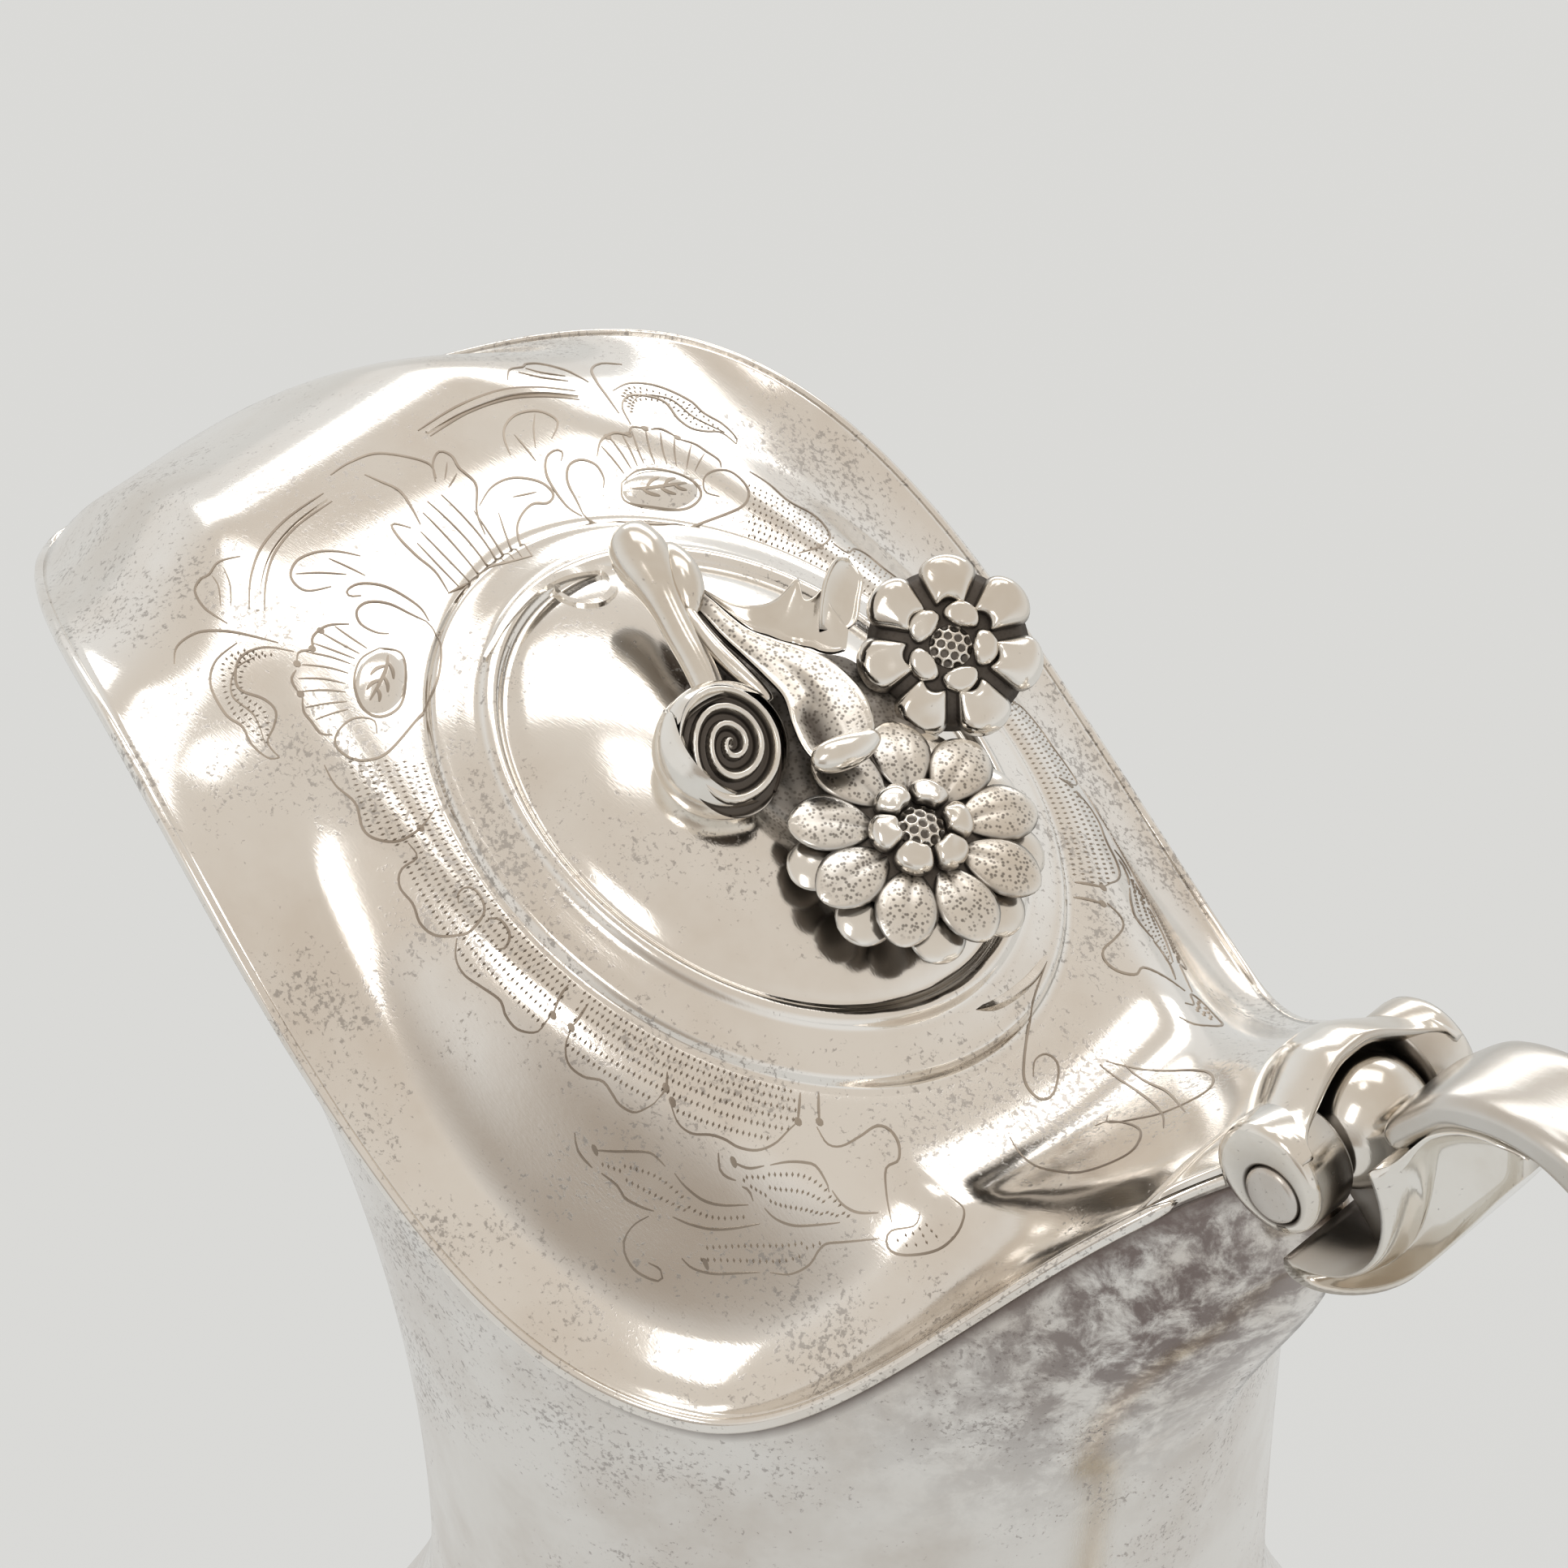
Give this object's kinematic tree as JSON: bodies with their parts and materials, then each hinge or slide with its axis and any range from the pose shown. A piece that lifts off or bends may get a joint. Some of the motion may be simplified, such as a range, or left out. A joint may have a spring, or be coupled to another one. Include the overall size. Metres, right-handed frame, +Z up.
{
  "type": "coffee pot",
  "caption": "Footed silver coffee pot with a pouring beak, a wavy mouth, a hinged saddle lid with a flower finial on its oval dome, and an insulated scroll handle.",
  "frame": {"origin": "centre of the foot's rest face, on the axis of the neck and belly", "axes": "+Z up, -X the way the beak points, +X towards the hinge and the handle, +Y completes the right-handed set"},
  "size_m": [0.1771, 0.11, 0.2082],
  "materials": {
    "silver": "polished silver with a warm patina and fine tarnish flecks",
    "cast_silver": "cast and chased silver, polished high spots, dark oxidised recesses",
    "silver_fittings": "plain drawn silver, lightly worn",
    "insulator": "cream insulating composite, satin polish"
  },
  "bodies": {
    "pot": {"body_shell": "silver", "foot_ring": "silver", "hinge_pin": "silver_fittings", "handle_upper_socket": "silver", "handle_grip": "silver", "handle_lower_socket": "silver", "upper_insulator": "insulator", "lower_insulator": "insulator", "handle_pins": "silver_fittings"},
    "lid": {"lid_shell": "silver", "lid_edge_wire": "silver", "lid_bezel": "silver", "lid_hinge_hood": "silver", "finial_twig": "cast_silver", "finial_stud": "silver_fittings", "finial_washer": "silver_fittings", "finial_nut": "silver_fittings", "finial_large_flower": "cast_silver", "finial_small_flower": "cast_silver", "finial_rosebud": "cast_silver", "finial_large_leaf": "cast_silver", "finial_small_leaf": "cast_silver"}
  },
  "joints": [
    {"name": "lid_hinge", "type": "hinge", "parent": "pot", "child": "lid", "pos_m": [0.0467, 0, 0.1941], "axis": [0, 1, 0], "range_deg": [0, 100]}
  ]
}
